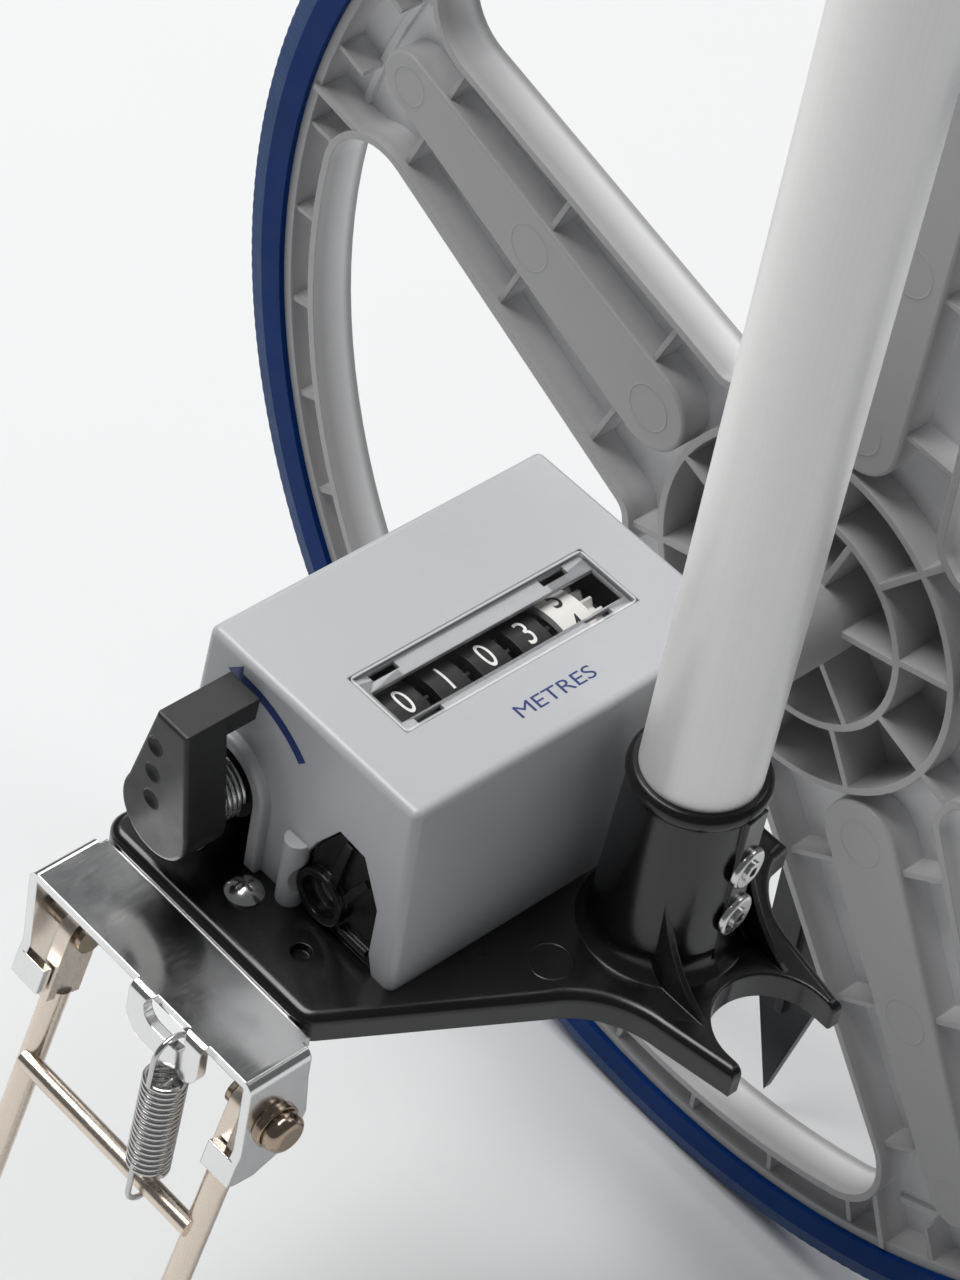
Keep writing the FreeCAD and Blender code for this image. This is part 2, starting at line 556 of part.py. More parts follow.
def counter_frame():
    """Folded steel frame: a base and two end plates that carry the counter's shafts."""
    x0, x1 = -31.0, 13.8
    base = box(x0, x1, FRAME_Y[0] - 1.5, FRAME_Y[1] + 1.5, PLATE_TOP, PLATE_TOP + 1.2)
    outline = [(x0, PLATE_TOP), (x1, PLATE_TOP), (x1, 20), (3, 28), (-12, 28), (x0, 14)]
    ends = [prism_y(outline, FRAME_Y[0] - 1.5, FRAME_Y[0]), prism_y(outline, FRAME_Y[1], FRAME_Y[1] + 1.5)]
    frame = fuse([base] + ends)
    holes = [cyl_y(AXLE_R + 1.0, -130, -40), cyl_y(2.0 + RUN, -130, -40, DRUM_X, DRUM_Z),
             cyl_y(1.0, -130, -40, PINION_X, PINION_Z), cyl_y(2.5 + RUN, -130, -40, LEVER_X, LEVER_Z)]
    slot = box(-12.5, 12.5, GEAR_Y[0] - 1, GEAR_Y[1] + 0.9, PLATE_TOP - 1, PLATE_TOP + 2)
    screws = [cyl_z(1.6, PLATE_TOP - 1, PLATE_TOP + 3, x, y) for x, y in FRAME_SCREWS]
    return cut(frame, slot, *(holes + screws))


def drum(k):
    y = drum_y(k)
    body = cyl_y(DRUM_R, y - DRUM_W / 2, y + DRUM_W / 2, DRUM_X, DRUM_Z)
    pocket = ring_y(DRUM_R - 1.6, 4.5, y - DRUM_W / 2 - 1, y + DRUM_W / 2 - 2.0, DRUM_X, DRUM_Z)
    body = body.cut(pocket)
    if k == 0:
        teeth = gear(DRIVE_TEETH, DRIVE_MODULE, GEAR_Y[0], GEAR_Y[1], 1.0, DRUM_X, DRUM_Z,
                     DRIVE_ANGLE + 180 + 180.0 / DRIVE_TEETH)
    else:
        y0 = y + DRUM_W / 2
        teeth = gear(20, PINION_MODULE, y0, y0 + 1.8, 1.0, DRUM_X, DRUM_Z, PINION_ANGLE)
    return body.fuse(teeth).cut(cyl_y(2.0 + RUN, -130, -40, DRUM_X, DRUM_Z))


def drum_shaft():
    return cyl_y(2.0, -116.2, FRAME_Y[1] + 2.5, DRUM_X, DRUM_Z)


def axle_gear():
    return gear(DRIVE_TEETH, DRIVE_MODULE, GEAR_Y[0], GEAR_Y[1], AXLE_R, 0, 0, DRIVE_ANGLE)


def pinion_shaft():
    return cyl_y(1.0, FRAME_Y[0] - 1.5, FRAME_Y[1] + 1.5, PINION_X, PINION_Z)


def transfer_pinion(k):
    """Pinion that carries into drum k from the drum before it."""
    y0 = drum_y(k) + DRUM_W / 2
    return gear(8, PINION_MODULE, y0, y0 + 1.6, 1.0 + RUN, PINION_X, PINION_Z,
                PINION_ANGLE + 180 + 22.5, 0.40)


def reset_lever():
    """Thumb lever: pad, arm that reaches back over the spring, hub disc and long shaft."""
    x, z = LEVER_X, LEVER_Z
    r = 8.7
    top = 33.0
    pad = fuse([cyl_y(r, -140, -131, x, z),
                prism_y([(x - r, z), (x + r, z), (-20.2, top), (-28.0, top)], -140, -131)])
    pad = fillet_where(pad, 0.8, lambda e: e.BoundBox.YMax < -139.99)
    arm = prism_y([(-28.0, 27.6), (-20.6, 27.6), (-20.2, top), (-28.0, top)], -132, -123.6)
    hub = fuse([cyl_y(5.2, -131.5, -123.2, x, z), cyl_y(7.8, -124.0, -119.6, x, z),
                cyl_y(2.5, -120, FRAME_Y[1] + 2.5, x, z)])
    body = fuse([pad, arm, hub])
    dimple_places = ((-27.2, 25.0), (-27.0, 18.6), (-26.6, 12.2))
    dimples = [Part.makeSphere(2.6, V(px, -141.6, pz)) for px, pz in dimple_places]
    return cut(body, *dimples)


def reset_spring():
    """Return spring of the lever: a close coil round its hub."""
    wound = coil(6.45, 0.48, 1.1, 5)
    wound.rotate(V(0, 0, 0), V(1, 0, 0), -90)
    wound.translate(V(LEVER_X, -130.4, LEVER_Z))
    return wound


def reset_sector():
    return gear(60, SECTOR_MODULE, SECTOR_Y[0], SECTOR_Y[1], 2.5, LEVER_X, LEVER_Z, SECTOR_ANGLE,
                0.42, (SECTOR_ANGLE - 66, SECTOR_ANGLE + 7))


def reset_pinion():
    return gear(10, SECTOR_MODULE, SECTOR_Y[0], SECTOR_Y[1], 2.0, DRUM_X, DRUM_Z,
                SECTOR_ANGLE + 180 + 18, 0.40)


def pan_screw(x, y, z_seat, length, shank_r, head_r, up):
    """Pan-head screw with a cross recess; up is 1 for a head on top, -1 for a head below."""
    head = Part.makeSphere(head_r * 1.25, V(0, 0, -head_r * 0.65))
    head = head.common(Part.makeCylinder(head_r, head_r * 0.6))
    shank = Part.makeCylinder(shank_r, length, V(0, 0, -length))
    cross = [Part.makeBox(a, b, 3, V(-a / 2, -b / 2, head_r * 0.28)) for a, b in ((3.6, 0.7), (0.7, 3.6))]
    screw = cut(head.fuse(shank), *cross)
    if up < 0:
        screw.rotate(V(0, 0, 0), V(1, 0, 0), 180)
    screw.translate(V(x, y, z_seat))
    return screw


def cover_screws():
    low = PLATE_TOP - PLATE_T
    return Part.makeCompound([pan_screw(x, y, low, 10.0, 1.2, 2.8, -1) for x, y in COVER_SCREWS])


def frame_screws():
    top = PLATE_TOP + 1.2
    return Part.makeCompound([pan_screw(x, y, top, 7.0, 1.6, 3.0, 1) for x, y in FRAME_SCREWS])


def hex_nut(x, y, z0, height, across, bore):
    nut = prism_z([(x + across / 1.732 * math.cos(60 * k * DEG), y + across / 1.732 * math.sin(60 * k * DEG))
                   for k in range(6)], z0, z0 + height)
    return nut.cut(cyl_z(bore, z0 - 1, z0 + height + 1, x, y))


# ---- stand -------------------------------------------------------------------------------
SHEET = 2.0
STAND_TOP = PLATE_TOP - PLATE_T
STAND_SIDE = (-40.0, 19.0 + 1.2)


def tilted(shape):
    """Turn a copy with the open stand, about the stand's axis."""
    turned = shape.copy()
    turned.rotate(V(0, STAND_Y, STAND_Z), V(1, 0, 0), -LEG_TILT)
    return turned


def stand_bracket():
    """Folded steel bracket: top plate, tongue, two ears, spring tab and two leg stops."""
    x0, x1 = STAND_SIDE
    z1, z0 = STAND_TOP, STAND_TOP - SHEET
    edge = -153.9
    ear = [(edge, z1), (-140.2, z1), (-140.2, -16.0), (-139.2, -26.5), (-140.8, -30.5), (-144.8, -34.6),
           (-150.0, -36.6), (-154.1, -36.2), (-156.1, -35.6), (-154.8, -30.8), (edge, -28.5)]
    ears = [prism_x(ear, x0, x0 + SHEET), prism_x(ear, x1 - SHEET, x1)]
    plate = box(x0, x1, edge, -140.2, z0, z1)
    body = fuse([plate] + ears)
    body = fillet_where(body, 2.2, lambda e: along(e, "y") and e.BoundBox.ZMin > z1 - 0.01
                        and abs(e.Vertexes[0].X - STAND_MID_X) > 25)
    rear = box(x0 + 2.5, x1 - 2.5, -141.0, PLATE_Y[0] - 0.3, z0, z1)
    tongue = box(-33.9, 11.9, -141.0, -120.2, z0, z1)
    tab = box(-10.0, 9.0, edge - SHEET, edge, -21.0, z1)
    tab = fillet_where(tab, 1.9, lambda e: along(e, "x") and e.BoundBox.ZMin > z1 - 0.01
                       and e.BoundBox.YMax < edge - 1)
    tab = fillet_where(tab, 5.0, lambda e: along(e, "y") and e.BoundBox.ZMax < -20)
    slot = fuse([box(-2.8, 1.9, edge - 5, edge + 0.2, -15.2, -8.8),
                 cyl_y(3.2, edge - 5, edge + 0.2, -2.8, -12.0), cyl_y(3.2, edge - 5, edge + 0.2, 1.9, -12.0)])
    y0, y1 = STAND_Y - 6.4, STAND_Y - 4.35
    z_low, z_high = STAND_Z - 13.0, STAND_Z - 7.6
    stops = []
    for a, b, outer in ((x0, x0 + 7.2, x0), (x1 - 7.2, x1, x1)):
        stop = box(a, b, y0, y1, z_low, z_high)
        stop = fillet_where(stop, 1.6, lambda e: along(e, "z") and e.BoundBox.YMax < y0 + 0.1
                            and abs(e.Vertexes[0].X - outer) < 0.1)
        stops.append(tilted(stop))
    body = body.multiFuse([rear, tongue, tab.cut(slot)] + stops)
    for x, y in STAND_SCREWS:
        body = body.cut(cyl_z(1.6, -20, 0, x, y))
    return body.cut(cyl_x(2.0, x0 - 5, x1 + 5, STAND_Y, STAND_Z)).removeSplitter()


def lean(z):
    """Y of the leg's centre line at height z."""
    return STAND_Y - (STAND_Z - z) * math.tan(LEG_TILT * DEG)


def rod(a, b, radius):
    return Part.makeCylinder(radius, (b - a).Length, a, b - a)


def leg_points(side):
    x = STAND_MID_X + side * LEG_X
    bend = V(x, lean(LEG_BEND_Z), LEG_BEND_Z)
    foot = V(x + side * FOOT_SPREAD, lean(-155.0), -155.0)
    return V(x, STAND_Y, STAND_Z), bend, foot


def stand_leg(side):
    """Bent wire leg with a flattened, drilled upper end."""
    pivot, bend, foot = leg_points(side)
    start = V(pivot.x, lean(-38.0), -38.0)
    flat = fuse([cyl_x(4.0, pivot.x - 1.6, pivot.x + 1.6, STAND_Y, STAND_Z),
                 Part.makeBox(3.2, 8.0, 15.0, V(pivot.x - 1.6, STAND_Y - 4.0, STAND_Z - 15.0))])
    flat.rotate(pivot, V(1, 0, 0), -LEG_TILT)
    body = fuse([flat, rod(start, bend, LEG_R), Part.makeSphere(LEG_R, bend), rod(bend, foot, LEG_R)])
    return body.cut(cyl_x(2.0 + RUN, pivot.x - 10, pivot.x + 10, STAND_Y, STAND_Z))


def foot_cap(side):
    """Rubber cap on the end of a leg, ground flat where it stands."""
    bend, foot = leg_points(side)[1:]
    way = foot - bend
    way.normalize()
    start = foot - way * 20.0
    cap = rod(start, foot + way * 9.0, 5.0).common(box(-300, 300, -300, 0, -WHEEL_R, 0))
    return cap.cut(rod(bend, foot, LEG_R))


def stand_crossbar():
    """Round bar between the legs, notched to lie against both of them."""
    y = lean(CROSSBAR_Z) - 2.1
    bar = cyl_x(2.0, STAND_MID_X - LEG_X, STAND_MID_X + LEG_X, y, CROSSBAR_Z)
    legs = []
    for side in (-1, 1):
        pivot, bend = leg_points(side)[:2]
        legs.append(rod(V(pivot.x, lean(-38.0), -38.0), bend, LEG_R))
    return cut(bar, *legs)


def pivot_head(ear, side):
    """Flanged round head of a stand pivot, seated on the outside of an ear."""
    flange = Part.makeCylinder(4.7, 1.0)
    flange = flange.makeFillet(0.4, [e for e in flange.Edges if e.BoundBox.ZMin > 0.9])
    neck = Part.makeCylinder(3.6, 2.0)
    dome = Part.makeCylinder(4.2, 2.6, V(0, 0, 1.5))
    dome = dome.makeFillet(2.0, [e for e in dome.Edges if e.BoundBox.ZMin > 4.0])
    head = fuse([flange, neck, dome])
    head.Placement = FreeCAD.Placement(V(ear, STAND_Y, STAND_Z), FreeCAD.Rotation(V(0, 0, 1), V(side, 0, 0)))
    return head


def stand_rivets():
    x0, x1 = STAND_SIDE
    rivets = []
    for side, ear in ((-1, x0), (1, x1)):
        leg_x = STAND_MID_X + side * LEG_X
        inside = abs(ear - leg_x) + 1.6 + 0.6
        rivet = pivot_head(ear, side).fuse(cyl_x(2.0, min(ear, ear - side * inside),
                                                 max(ear, ear - side * inside), STAND_Y, STAND_Z))
        tail_x = ear - side * inside
        tail_end = tail_x - side * 1.2
        tail = cyl_x(3.0, min(tail_x, tail_end), max(tail_x, tail_end), STAND_Y, STAND_Z)
        rivets.append(rivet.fuse(tail))
    return Part.makeCompound(rivets)


def wire_loop(a, b, half, wire_r):
    """Oval wire loop in the YZ plane, its two end arcs centred on the points a and b."""
    way = b - a
    way.normalize()
    across = V(0, -way.z, way.y) * half
    sides = [rod(a + across, b + across, wire_r), rod(a - across, b - across, wire_r)]
    return fuse(sides + [half_ring(a + across, a, V(1, 0, 0), wire_r, way),
                         half_ring(b - across, b, V(1, 0, 0), wire_r, way)])


SPRING_TOP = V(SPRING_X, -154.9, -18.1)     # middle of the tab's strip, which the upper hook turns round


def stand_spring():
    """Extension spring with a loop at each end, from the tab to the crossbar."""
    low = V(SPRING_X, lean(CROSSBAR_Z) - 2.6, CROSSBAR_Z + 0.4)
    way = low - SPRING_TOP
    start, end = 6.4, way.Length - 5.4
    turns = 17
    wound = coil(3.6, 0.56, (end - start) / turns, turns)
    wound.translate(V(0, 0, start))
    hung = FreeCAD.Placement(SPRING_TOP, FreeCAD.Rotation(V(0, 0, 1), way))
    wound.Placement = hung.multiply(wound.Placement)
    way.normalize()
    hook_top = wire_loop(SPRING_TOP, SPRING_TOP + way * 5.4, 3.9, 0.56)
    hook_low = wire_loop(low - way * 7.2, low, 3.6, 0.56)
    return fuse([wound, hook_top, hook_low])


# ---- handle ------------------------------------------------------------------------------
PIN_X = TUBE_X + FOLD_OFFSET / 2


def tube(z0, z1):
    bore = cyl_z(TUBE_R - TUBE_WALL, z0 - 1, z1 + 1, TUBE_X, TUBE_Y)
    return cyl_z(TUBE_R, z0, z1, TUBE_X, TUBE_Y).cut(bore)


def lower_tube():
    shape = tube(FLANGE_LOW + 1.5, FOLD_Z - 8)
    return cut(shape, *rivet_holes())


EAR_NEAR = (TUBE_Y - 14.3, TUBE_Y - 5.3)
EAR_FAR = (TUBE_Y + 5.3, TUBE_Y + 10.3)
TONGUE = (TUBE_Y - 5.0, TUBE_Y + 5.0)
KNUCKLE_R = 8.6
BUTTON_R = 5.6


def fold_joint_lower():
    """Clamp on the lower tube with the two ears of the folding hinge."""
    sleeve = cyl_z(14.0, FOLD_Z - 48, FOLD_Z - 0.3, TUBE_X, TUBE_Y)
    sleeve = fillet_where(sleeve, 1.5, lambda e: e.BoundBox.ZMax < FOLD_Z - 47)
    ears = []
    for y0, y1 in (EAR_NEAR, EAR_FAR):
        ears.append(cyl_y(KNUCKLE_R, y0, y1, PIN_X, FOLD_Z))
        web = prism_y([(PIN_X, FOLD_Z - 0.3), (TUBE_X, FOLD_Z - 0.3), (TUBE_X, FOLD_Z - 30),
                       (PIN_X + 1.0, FOLD_Z - 8.5)], y0, y1)
        ears.append(web)
    body = fuse([sleeve] + ears)
    body = cut(body, cyl_y(KNUCKLE_R + 0.5, TONGUE[0] - 0.3, TONGUE[1] + 0.3, PIN_X, FOLD_Z),
               cyl_z(TUBE_R, FOLD_Z - 60, FOLD_Z - 8, TUBE_X, TUBE_Y),
               cyl_z(8.0, FOLD_Z - 20, FOLD_Z + 5, TUBE_X, TUBE_Y))
    body = body.cut(box(TUBE_X - 20, TUBE_X + 0.01, -100, -40, FOLD_Z - 0.3, FOLD_Z + 10))
    return cut(body, cyl_y(3.0, -90, -50, PIN_X, FOLD_Z),
               cyl_y(BUTTON_R + 0.15, EAR_NEAR[0] - 1, EAR_NEAR[0] + 6.6, PIN_X, FOLD_Z))


def fold_joint_upper():
    """Clamp on the upper tube with the middle tongue of the folding hinge."""
    sleeve = cyl_z(14.0, FOLD_Z + 0.3, FOLD_Z + 48, TUBE_X, TUBE_Y)
    sleeve = fillet_where(sleeve, 1.5, lambda e: e.BoundBox.ZMin > FOLD_Z + 47)
    knuckle = cyl_y(KNUCKLE_R, TONGUE[0], TONGUE[1], PIN_X, FOLD_Z)
    web = prism_y([(PIN_X, FOLD_Z + 0.3), (TUBE_X, FOLD_Z + 0.3), (TUBE_X, FOLD_Z + 30),
                   (PIN_X + 1.0, FOLD_Z + 8.5)], *TONGUE)
    body = fuse([sleeve, knuckle, web])
    for y0, y1 in (EAR_NEAR, EAR_FAR):
        body = body.cut(cyl_y(KNUCKLE_R + 0.5, y0 - 0.3, y1 + 0.3, PIN_X, FOLD_Z))
    bore = cyl_z(8.0, FOLD_Z - 20, FOLD_Z + 20, TUBE_X, TUBE_Y).cut(knuckle)
    return cut(body, cyl_z(TUBE_R, FOLD_Z + 8, FOLD_Z + 60, TUBE_X, TUBE_Y), bore,
               cyl_y(3.0 + RUN, -90, -50, PIN_X, FOLD_Z))


def hinge_pin():
    pin = cyl_y(3.0, EAR_NEAR[0] + 6.6, EAR_FAR[1], PIN_X, FOLD_Z)
    head = cyl_y(5.2, EAR_FAR[1], EAR_FAR[1] + 1.8, PIN_X, FOLD_Z)
    return pin.fuse(head.makeFillet(1.2, [e for e in head.Edges if e.BoundBox.YMin > EAR_FAR[1] + 1]))


def lock_button():
    button = cyl_y(BUTTON_R, EAR_NEAR[0] - 2.4, EAR_NEAR[0] + 2.8, PIN_X, FOLD_Z)
    button = button.makeFillet(1.2, [e for e in button.Edges if e.BoundBox.YMax < EAR_NEAR[0] - 2])
    return button


def upper_tube():
    return tube(FOLD_Z + 8, GRIP_Z[1] - 3)


def handle_grip():
    """Ribbed rubber sleeve over the top of the upper tube."""
    z0, z1 = GRIP_Z
    body = cyl_z(14.6, z0, z1, TUBE_X, TUBE_Y)
    collar = cyl_z(15.4, z0, z0 + 6, TUBE_X, TUBE_Y)
    collar = collar.makeFillet(1.2, [e for e in collar.Edges if not along(e, "z")])
    body = body.fuse(collar)
    for k in range(12):
        z = z0 + 16 + 8 * k
        groove = Part.makeTorus(15.2, 1.3, V(TUBE_X, TUBE_Y, z), V(0, 0, 1))
        body = body.cut(groove)
    return body.cut(cyl_z(TUBE_R, z0 - 1, z1 + 1, TUBE_X, TUBE_Y))


def grip_cap():
    """Round end plug that closes the grip."""
    z = GRIP_Z[1]
    cap = cyl_z(14.6, z, z + 5, TUBE_X, TUBE_Y)
    cap = cap.makeFillet(2.5, [e for e in cap.Edges if e.BoundBox.ZMin > z + 4])
    stem = cyl_z(TUBE_R - TUBE_WALL, z - 16, z - 3, TUBE_X, TUBE_Y)
    plug = cyl_z(TUBE_R, z - 3, z, TUBE_X, TUBE_Y).fuse(stem)
    return cap.fuse(plug)


# ---- build and save ----------------------------------------------------------------------
def stand_fasteners():
    screws = [pan_screw(x, y, PLATE_TOP, 9.5, 1.6, 3.7, 1) for x, y in STAND_SCREWS]
    return Part.makeCompound(screws)


def stand_nuts():
    z = STAND_TOP - SHEET - 2.4
    return Part.makeCompound([hex_nut(x, y, z, 2.4, 5.5, 1.6) for x, y in STAND_SCREWS])


PARTS = {
    "tyre": tyre,
    "wheel": wheel,
    "axle": axle,
    "axle_nut": axle_nut,
    "thrust_washer": lambda: ring_y(7.0, AXLE_R + RUN, -40.2, HUB_TUBE_Y[0] - 0.4),
    "start_pointer": pointer,
    "pointer_cap": pointer_cap,
    "bracket": bracket,
    "axle_bush_outer": lambda: bush(-121.0, OUTER_BOSS_Y[1]),
    "axle_bush_inner": lambda: bush(*INNER_BOSS_Y),
    "tube_rivets": tube_rivets,
    "counter_cover": counter_cover,
    "window_lens": window_lens,
    "counter_frame": counter_frame,
    "drum_shaft": drum_shaft,
    "axle_gear": axle_gear,
    "pinion_shaft": pinion_shaft,
    "reset_lever": reset_lever,
    "reset_spring": reset_spring,
    "reset_sector": reset_sector,
    "reset_pinion": reset_pinion,
    "cover_screws": cover_screws,
    "frame_screws": frame_screws,
    "stand_bracket": stand_bracket,
    "stand_screws": stand_fasteners,
    "stand_nuts": stand_nuts,
    "stand_rivets": stand_rivets,
    "stand_leg_right": lambda: stand_leg(1),
    "stand_leg_left": lambda: stand_leg(-1),
    "stand_crossbar": stand_crossbar,
    "foot_cap_right": lambda: foot_cap(1),
    "foot_cap_left": lambda: foot_cap(-1),
    "stand_spring": stand_spring,
    "lower_tube": lower_tube,
    "fold_joint_lower": fold_joint_lower,
    "fold_joint_upper": fold_joint_upper,
    "hinge_pin": hinge_pin,
    "lock_button": lock_button,
    "upper_tube": upper_tube,
    "handle_grip": handle_grip,
    "grip_cap": grip_cap,
}
DRUM_NAMES = ("drum_tenths", "drum_ones", "drum_tens", "drum_hundreds", "drum_thousands")


def save(name, shape):
    shape.translate(SHIFT)
    bad = [s for s in shape.Solids if not s.isValid()]
    bb = shape.BoundBox
    print(f"{name:20s} solids {len(shape.Solids)} bad {len(bad)} vol {shape.Volume / 1000:8.2f} cm3 "
          f"x {bb.XMin:.1f} {bb.XMax:.1f} y {bb.YMin:.1f} {bb.YMax:.1f} z {bb.ZMin:.1f} {bb.ZMax:.1f}")
    shape.exportStep(f"parts/{name}.step")


def main():
    os.makedirs("parts", exist_ok=True)
    for name, make in PARTS.items():
        save(name, make())
    for k, name in enumerate(DRUM_NAMES):
        save(name, drum(k))
    for k in range(1, DRUMS):
        save(f"transfer_pinion_{k}", transfer_pinion(k))


main()
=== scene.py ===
"""Looks of the measuring wheel: procedural materials, printed marks, number drums, tyre, light and camera."""

import bmesh
import bpy
import json
import math
from mathutils import Matrix, Vector


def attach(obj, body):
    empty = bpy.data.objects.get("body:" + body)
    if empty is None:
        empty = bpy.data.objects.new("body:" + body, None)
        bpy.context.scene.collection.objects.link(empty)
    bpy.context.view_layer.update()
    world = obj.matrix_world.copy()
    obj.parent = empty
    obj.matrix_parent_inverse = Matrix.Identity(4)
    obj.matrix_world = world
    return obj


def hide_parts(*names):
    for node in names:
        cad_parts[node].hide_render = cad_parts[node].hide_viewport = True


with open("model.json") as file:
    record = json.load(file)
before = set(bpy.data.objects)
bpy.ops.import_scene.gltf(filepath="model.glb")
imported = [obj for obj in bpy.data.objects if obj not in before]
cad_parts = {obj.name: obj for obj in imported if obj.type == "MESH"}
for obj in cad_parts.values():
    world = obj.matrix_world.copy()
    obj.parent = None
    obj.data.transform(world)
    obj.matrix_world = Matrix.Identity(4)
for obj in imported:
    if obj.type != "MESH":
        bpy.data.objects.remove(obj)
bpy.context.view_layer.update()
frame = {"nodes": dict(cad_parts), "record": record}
nodes = frame["nodes"]

MM = 0.001
AXLE = Vector((0.0, 0.0, 159.0)) * MM       # a point on the axle line, in the row frame
SHIFT_Y = 80.0                              # the row frame's Y is the rim frame's Y plus this
DRUM_X, DRUM_Z, DRUM_R = -5.0, 20.6, 13.2
DRUM_FIRST_Y, DRUM_PITCH = -66.0, 9.55      # middle of the tenths drum, and the step to the next one
SPOKES, SPOKE_ANGLE = 5, 16.0
BAR_TOP_Y = -2.3                            # near face of the raised bars on the spokes
PLATE_TOP_Z = -7.0                          # top of the bracket plate, where the cover stands
COVER_TOP_Z, COVER_FRONT_Y, COVER_DRAFT = 37.0, -122.6, 0.2
WINDOW_MID = (-0.0051, -0.0035)             # middle of the clear window in the row frame, metres
WINDOW_HALF = (0.0076, 0.0274)
CAMERA_TURN = (-0.687, -0.792, 0.202)       # azimuth, elevation and roll, radians
CAMERA_LENS = 121.85


def row(x, y, z):
    """Millimetres from the axle and the wheel rim, to metres in the row frame."""
    return Vector((x, y + SHIFT_Y, z + 159.0)) * MM


CAMERA_PLACE = row(326.16, -491.43, 568.39)


# ---- node helpers ------------------------------------------------------------------------
class Nodes:
    """A material's node tree with short calls to add and join nodes."""

    def __init__(self, name):
        self.mat = bpy.data.materials.new(name)
        self.mat.use_nodes = True
        self.tree = self.mat.node_tree
        self.tree.nodes.clear()
        self.out = self.tree.nodes.new("ShaderNodeOutputMaterial")
        self.bsdf = self.tree.nodes.new("ShaderNodeBsdfPrincipled")
        self.link(self.bsdf.outputs[0], self.out.inputs["Surface"])
        self.coord = self.tree.nodes.new("ShaderNodeTexCoord").outputs["Object"]

    def link(self, a, b):
        self.tree.links.new(a, b)

    def put(self, value, socket):
        if isinstance(value, bpy.types.NodeSocket):
            self.link(value, socket)
        else:
            socket.default_value = value

    def noise(self, scale, detail=3.0, rough=0.55, vector=None, stretch=None):
        n = self.tree.nodes.new("ShaderNodeTexNoise")
        n.inputs["Scale"].default_value = scale
        n.inputs["Detail"].default_value = detail
        n.inputs["Roughness"].default_value = rough
        vector = vector or self.coord
        if stretch:
            m = self.tree.nodes.new("ShaderNodeMapping")
            m.inputs["Scale"].default_value = stretch
            self.link(vector, m.inputs["Vector"])
            vector = m.outputs["Vector"]
        self.link(vector, n.inputs["Vector"])
        return n.outputs["Fac"]

    def math(self, op, a, b=0.0, c=0.0, clamp=False):
        n = self.tree.nodes.new("ShaderNodeMath")
        n.operation = op
        n.use_clamp = clamp
        for value, socket in zip((a, b, c), n.inputs):
            self.put(value, socket)
        return n.outputs[0]

    def ranged(self, value, a, b, c, d):
        n = self.tree.nodes.new("ShaderNodeMapRange")
        for v, k in zip((value, a, b, c, d), range(5)):
            self.put(v, n.inputs[k])
        return n.outputs["Result"]

    def mix(self, fac, a, b):
        n = self.tree.nodes.new("ShaderNodeMix")
        n.data_type = "RGBA"
        self.put(fac, n.inputs["Factor"])
        self.put(a, n.inputs[6])
        self.put(b, n.inputs[7])
        return n.outputs[2]

    def bump(self, height, distance, strength=1.0, normal=None):
        n = self.tree.nodes.new("ShaderNodeBump")
        n.inputs["Strength"].default_value = strength
        n.inputs["Distance"].default_value = distance
        self.link(height, n.inputs["Height"])
        if normal:
            self.link(normal, n.inputs["Normal"])
        return n.outputs["Normal"]

    def bevel(self, radius):
        n = self.tree.nodes.new("ShaderNodeBevel")
        n.samples = 6
        n.inputs["Radius"].default_value = radius
        return n.outputs["Normal"]

    def separate(self, vector=None):
        n = self.tree.nodes.new("ShaderNodeSeparateXYZ")
        self.link(vector or self.coord, n.inputs[0])
        return n.outputs[0], n.outputs[1], n.outputs[2]


def shade(rgb, k):
    return tuple(min(1.0, c * k) for c in rgb[:3]) + (1.0,)


def plastic(name, rgb, rough, grain=2600.0, depth=0.00002, mottle=0.05, bevel=0.0004, coat=0.0, scuff=0.06):
    """Moulded plastic: flow mottling, fine spark texture, soft scuffs and rounded edges."""
    m = Nodes(name)
    flow = m.noise(38.0, 4.0, 0.6)
    fine = m.noise(900.0, 2.0)
    tone = m.math("ADD", m.math("MULTIPLY", flow, 0.7), m.math("MULTIPLY", fine, 0.3))
    m.put(m.mix(m.ranged(tone, 0.3, 0.7, 0.0, 1.0), shade(rgb, 1 - mottle), shade(rgb, 1 + mottle)),
          m.bsdf.inputs["Base Color"])
    wear = m.ranged(m.noise(160.0, 6.0, 0.7), 0.35, 0.75, -scuff, scuff)
    m.put(m.math("ADD", wear, rough, clamp=True), m.bsdf.inputs["Roughness"])
    scratches = m.noise(420.0, 2.0, 0.5, stretch=(1.0, 6.0, 0.35))
    height = m.math("ADD", m.noise(grain, 2.0), m.math("MULTIPLY", scratches, 0.25))
    m.put(m.bump(height, depth, 1.0, m.bevel(bevel)), m.bsdf.inputs["Normal"])
    m.bsdf.inputs["Coat Weight"].default_value = coat
    m.bsdf.inputs["Coat Roughness"].default_value = 0.08
    m.bsdf.inputs["Specular IOR Level"].default_value = 0.5
    return m


